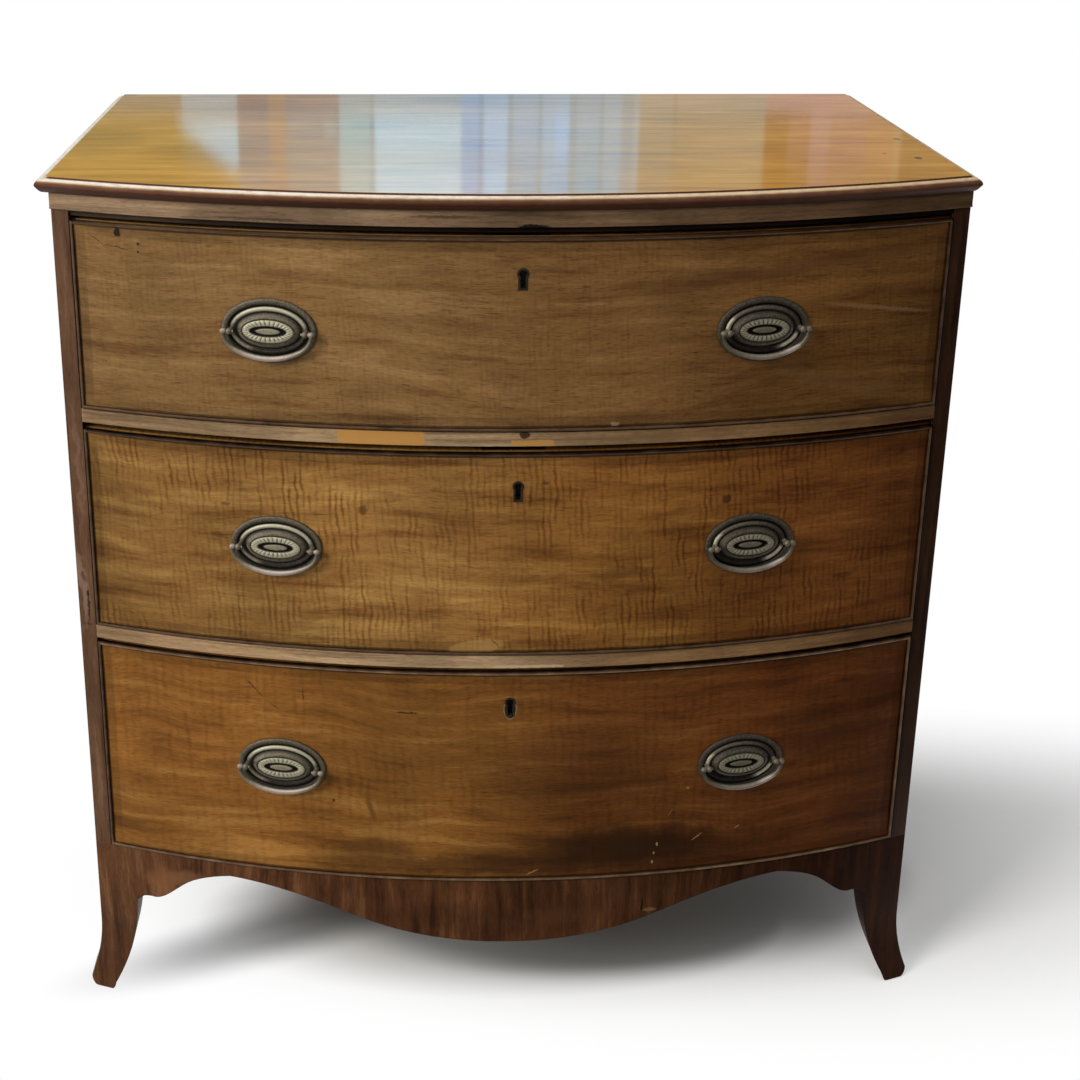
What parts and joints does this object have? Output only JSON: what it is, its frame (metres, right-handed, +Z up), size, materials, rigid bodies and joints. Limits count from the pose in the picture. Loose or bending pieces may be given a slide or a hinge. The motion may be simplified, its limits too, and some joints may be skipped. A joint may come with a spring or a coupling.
{
  "type": "bow front chest of drawers",
  "caption": "Bow front chest of drawers with graduated long drawers, oval bail handles, a shaped apron and splayed feet.",
  "frame": {"origin": "on the floor below the middle of the chest, halfway across and halfway from back to front", "axes": "+Z up, -Y out of the bowed front, +X to the right of someone who faces the front"},
  "size_m": [0.943, 0.6039, 0.943],
  "materials": {
    "mahogany_front": "satin, faded figured mahogany veneer",
    "mahogany_top": "polished mahogany",
    "mahogany_case": "satin mahogany",
    "mahogany_base": "satin mahogany, grain upright",
    "mahogany_bead": "worn mahogany bead",
    "oak": "unpolished drawer linings",
    "pine": "unpolished inner boards",
    "brass": "dull old brass",
    "steel": "dull steel"
  },
  "bodies": {
    "case": {"top_board": "mahogany_top", "case_side_left": "mahogany_case", "case_side_right": "mahogany_case", "stile_facings": "mahogany_case", "frieze_band": "mahogany_case", "top_front_rail": "mahogany_case", "top_back_rail": "pine", "blade_upper": "mahogany_case", "blade_lower": "mahogany_case", "runners_and_kickers": "pine", "dustboards": "pine", "drawer_stops": "pine", "back_boards": "pine", "bottom_board": "pine", "apron_front": "mahogany_base", "side_aprons": "mahogany_base", "foot_front_left": "mahogany_base", "foot_front_right": "mahogany_base", "foot_back_left": "mahogany_base", "foot_back_right": "mahogany_base", "glue_blocks": "pine"},
    "drawer_upper": {"upper_drawer_front": "mahogany_front", "upper_cock_beads": "mahogany_bead", "upper_drawer_side_left": "oak", "upper_drawer_side_right": "oak", "upper_drawer_back": "oak", "upper_drawer_bottom": "oak", "upper_lock_case": "brass", "upper_keyhole_thread": "brass", "upper_handle_plates": "brass", "upper_handle_posts": "brass"},
    "upper_bolt": {"upper_lock_bolt": "steel"},
    "upper_bail_left_body": {"upper_bail_left": "brass"},
    "upper_bail_right_body": {"upper_bail_right": "brass"},
    "drawer_middle": {"middle_drawer_front": "mahogany_front", "middle_cock_beads": "mahogany_bead", "middle_drawer_side_left": "oak", "middle_drawer_side_right": "oak", "middle_drawer_back": "oak", "middle_drawer_bottom": "oak", "middle_lock_case": "brass", "middle_keyhole_thread": "brass", "middle_handle_plates": "brass", "middle_handle_posts": "brass"},
    "middle_bolt": {"middle_lock_bolt": "steel"},
    "middle_bail_left_body": {"middle_bail_left": "brass"},
    "middle_bail_right_body": {"middle_bail_right": "brass"},
    "drawer_lower": {"lower_drawer_front": "mahogany_front", "lower_cock_beads": "mahogany_bead", "lower_drawer_side_left": "oak", "lower_drawer_side_right": "oak", "lower_drawer_back": "oak", "lower_drawer_bottom": "oak", "lower_lock_case": "brass", "lower_keyhole_thread": "brass", "lower_handle_plates": "brass", "lower_handle_posts": "brass"},
    "lower_bolt": {"lower_lock_bolt": "steel"},
    "lower_bail_left_body": {"lower_bail_left": "brass"},
    "lower_bail_right_body": {"lower_bail_right": "brass"}
  },
  "joints": [
    {"name": "upper_drawer_slide", "type": "slide", "parent": "case", "child": "drawer_upper", "axis": [0, -1, 0], "range_m": [0, 0.38]},
    {"name": "upper_bolt_slide", "type": "slide", "parent": "drawer_upper", "child": "upper_bolt", "axis": [0, 0, 1], "range_m": [0, 0.011]},
    {"name": "upper_bail_left_swing", "type": "hinge", "parent": "drawer_upper", "child": "upper_bail_left_body", "pos_m": [-0.24227, -0.27768, 0.803], "axis": [-0.9824, 0.1867, 0], "range_deg": [0, 170]},
    {"name": "upper_bail_right_swing", "type": "hinge", "parent": "drawer_upper", "child": "upper_bail_right_body", "pos_m": [0.2458, -0.277, 0.803], "axis": [-0.9819, -0.1895, 0], "range_deg": [0, 170]},
    {"name": "middle_drawer_slide", "type": "slide", "parent": "case", "child": "drawer_middle", "axis": [0, -1, 0], "range_m": [0, 0.38]},
    {"name": "middle_bolt_slide", "type": "slide", "parent": "drawer_middle", "child": "middle_bolt", "axis": [0, 0, 1], "range_m": [0, 0.011]},
    {"name": "middle_bail_left_swing", "type": "hinge", "parent": "drawer_middle", "child": "middle_bail_left_body", "pos_m": [-0.24127, -0.27787, 0.57375], "axis": [-0.9826, 0.186, 0], "range_deg": [0, 170]},
    {"name": "middle_bail_right_swing", "type": "hinge", "parent": "drawer_middle", "child": "middle_bail_right_body", "pos_m": [0.2458, -0.277, 0.57375], "axis": [-0.9819, -0.1895, 0], "range_deg": [0, 170]},
    {"name": "lower_drawer_slide", "type": "slide", "parent": "case", "child": "drawer_lower", "axis": [0, -1, 0], "range_m": [0, 0.38]},
    {"name": "lower_bolt_slide", "type": "slide", "parent": "drawer_lower", "child": "lower_bolt", "axis": [0, 0, 1], "range_m": [0, 0.011]},
    {"name": "lower_bail_left_swing", "type": "hinge", "parent": "drawer_lower", "child": "lower_bail_left_body", "pos_m": [-0.24227, -0.27768, 0.31775], "axis": [-0.9824, 0.1867, 0], "range_deg": [0, 170]},
    {"name": "lower_bail_right_swing", "type": "hinge", "parent": "drawer_lower", "child": "lower_bail_right_body", "pos_m": [0.25184, -0.27582, 0.31775], "axis": [-0.981, -0.1941, 0], "range_deg": [0, 170]}
  ]
}
